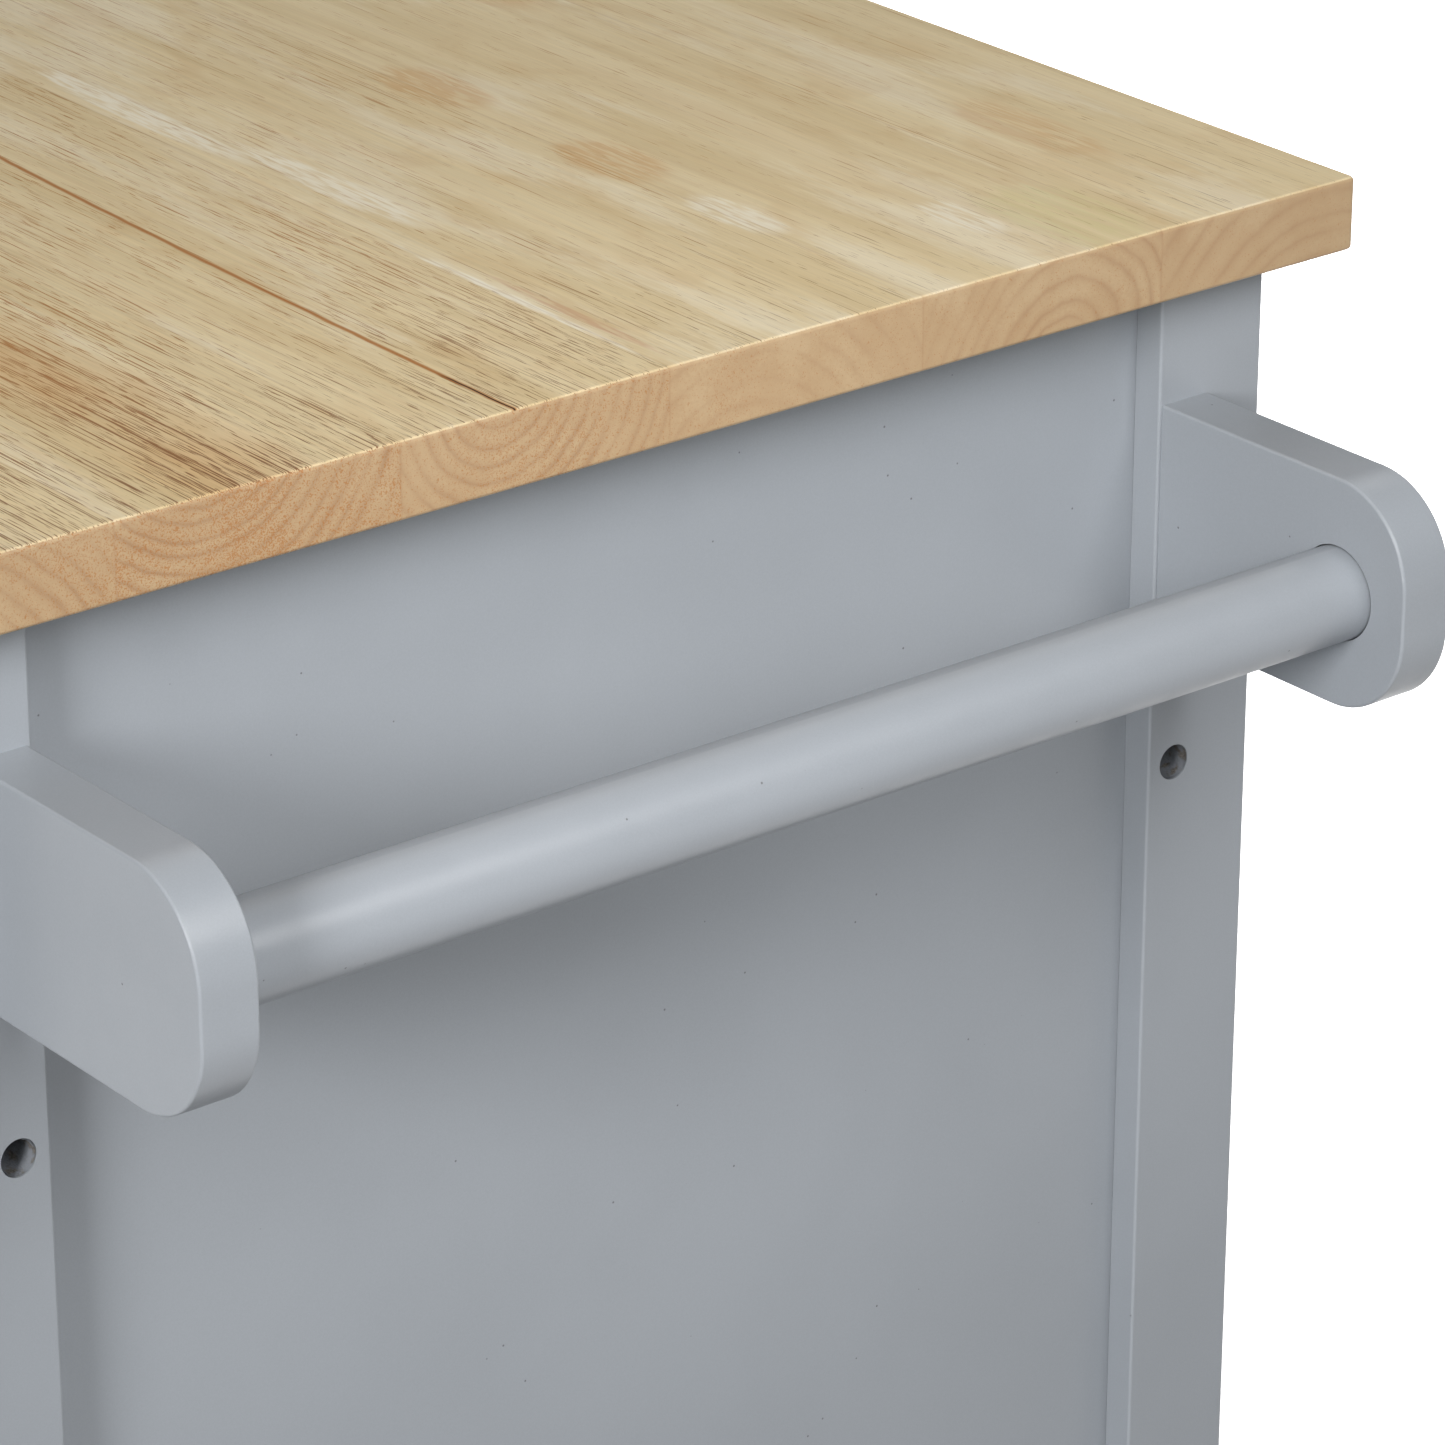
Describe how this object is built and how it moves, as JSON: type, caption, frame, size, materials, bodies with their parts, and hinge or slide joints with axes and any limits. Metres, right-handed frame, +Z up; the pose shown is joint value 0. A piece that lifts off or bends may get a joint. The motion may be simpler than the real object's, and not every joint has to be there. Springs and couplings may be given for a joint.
{
  "type": "butcher block table",
  "caption": "Rolling kitchen table with a glued-stave butcher block top on a grey painted cabinet with drawers, doors, shelves, swivel casters and a towel bar on one end.",
  "frame": {"origin": "middle of the whole object's bounding box, on the floor under the wheels", "axes": "+X towards the end with the towel bar, -Y towards the drawers and doors, +Z up"},
  "size_m": [1.075, 0.4614, 0.915],
  "materials": {
    "rubberwood": "clear satin oil on pale rubberwood staves, end grain on the ends",
    "grey_paint": "satin blue-grey paint with a faint orange peel",
    "plain_wood": "bare sanded wood",
    "satin_nickel": "satin nickel plate",
    "zinc_steel": "bright zinc plate",
    "grey_rubber": "matte moulded wheel tread and core",
    "black_plastic": "fine moulded grain"
  },
  "bodies": {
    "cabinet": {"back_bar_bracket": "grey_paint", "back_left_post": "grey_paint", "back_panel": "grey_paint", "back_right_post": "grey_paint", "barrel_nuts": "zinc_steel", "bottom_rails": "grey_paint", "bracket_bolts": "zinc_steel", "butcher_block_top": "rubberwood", "caster_stems": "zinc_steel", "centre_partition": "grey_paint", "door_catches": "black_plastic", "dowels": "plain_wood", "end_rails": "grey_paint", "floor_panel": "grey_paint", "front_bar_bracket": "grey_paint", "front_left_post": "grey_paint", "front_right_post": "grey_paint", "hinge_pins": "satin_nickel", "left_end_panel": "grey_paint", "left_shelf": "grey_paint", "mid_rails": "grey_paint", "post_hinge_leaves": "satin_nickel", "rail_bolts": "zinc_steel", "right_end_panel": "grey_paint", "right_shelf": "grey_paint", "shelf_pins": "zinc_steel", "slide_channels": "zinc_steel", "top_fixings": "zinc_steel", "top_rails": "grey_paint", "towel_bar": "grey_paint"},
    "left_drawer": {"left_drawer_bottom": "plain_wood", "left_drawer_box": "plain_wood", "left_drawer_front": "grey_paint", "left_drawer_knob": "satin_nickel", "left_drawer_slide_rails": "zinc_steel"},
    "left_door": {"left_door_frame": "grey_paint", "left_door_hinge_leaves": "satin_nickel", "left_door_knob": "satin_nickel", "left_door_panel": "grey_paint"},
    "left_brake": {"left_brake_pedal": "black_plastic"},
    "right_drawer": {"right_drawer_bottom": "plain_wood", "right_drawer_box": "plain_wood", "right_drawer_front": "grey_paint", "right_drawer_knob": "satin_nickel", "right_drawer_slide_rails": "zinc_steel"},
    "right_door": {"right_door_frame": "grey_paint", "right_door_hinge_leaves": "satin_nickel", "right_door_knob": "satin_nickel", "right_door_panel": "grey_paint"},
    "right_brake": {"right_brake_pedal": "black_plastic"},
    "front_left_fork": {"front_left_caster_fork": "zinc_steel"},
    "front_left_wheel": {"front_left_caster_wheel": "grey_rubber"},
    "front_right_fork": {"front_right_caster_fork": "zinc_steel"},
    "front_right_wheel": {"front_right_caster_wheel": "grey_rubber"},
    "back_left_fork": {"back_left_caster_fork": "zinc_steel"},
    "back_left_wheel": {"back_left_caster_wheel": "grey_rubber"},
    "back_right_fork": {"back_right_caster_fork": "zinc_steel"},
    "back_right_wheel": {"back_right_caster_wheel": "grey_rubber"}
  },
  "joints": [
    {"name": "left_drawer_slide", "type": "slide", "parent": "cabinet", "child": "left_drawer", "axis": [0, -1, 0], "range_m": [0, 0.25]},
    {"name": "left_door_hinge", "type": "hinge", "parent": "cabinet", "child": "left_door", "pos_m": [-0.484, -0.20845, 0.4], "axis": [0, 0, -1], "range_deg": [0, 110]},
    {"name": "right_drawer_slide", "type": "slide", "parent": "cabinet", "child": "right_drawer", "axis": [0, -1, 0], "range_m": [0, 0.25]},
    {"name": "right_door_hinge", "type": "hinge", "parent": "cabinet", "child": "right_door", "pos_m": [0.409, -0.20845, 0.4], "axis": [0, 0, 1], "range_deg": [0, 110]},
    {"name": "front_left_swivel", "type": "hinge", "parent": "cabinet", "child": "front_left_fork", "pos_m": [-0.50325, -0.187, 0.06], "axis": [0, 0, 1], "continuous": true},
    {"name": "front_left_roll", "type": "hinge", "parent": "front_left_fork", "child": "front_left_wheel", "pos_m": [-0.48325, -0.187, 0.025], "axis": [0, 1, 0], "continuous": true},
    {"name": "front_right_swivel", "type": "hinge", "parent": "cabinet", "child": "front_right_fork", "pos_m": [0.42825, -0.187, 0.06], "axis": [0, 0, 1], "continuous": true},
    {"name": "front_right_roll", "type": "hinge", "parent": "front_right_fork", "child": "front_right_wheel", "pos_m": [0.40825, -0.187, 0.025], "axis": [0, 1, 0], "continuous": true},
    {"name": "back_left_swivel", "type": "hinge", "parent": "cabinet", "child": "back_left_fork", "pos_m": [-0.50325, 0.1965, 0.06], "axis": [0, 0, 1], "continuous": true},
    {"name": "back_left_roll", "type": "hinge", "parent": "back_left_fork", "child": "back_left_wheel", "pos_m": [-0.48325, 0.1965, 0.025], "axis": [0, 1, 0], "continuous": true},
    {"name": "back_right_swivel", "type": "hinge", "parent": "cabinet", "child": "back_right_fork", "pos_m": [0.42825, 0.1965, 0.06], "axis": [0, 0, 1], "continuous": true},
    {"name": "back_right_roll", "type": "hinge", "parent": "back_right_fork", "child": "back_right_wheel", "pos_m": [0.40825, 0.1965, 0.025], "axis": [0, 1, 0], "continuous": true},
    {"name": "left_brake_press", "type": "hinge", "parent": "front_left_fork", "child": "left_brake", "pos_m": [-0.46846, -0.187, 0.05281], "axis": [0, 1, 0], "range_deg": [0, 15]},
    {"name": "right_brake_press", "type": "hinge", "parent": "front_right_fork", "child": "right_brake", "pos_m": [0.39346, -0.187, 0.05281], "axis": [0, -1, 0], "range_deg": [0, 15]}
  ]
}
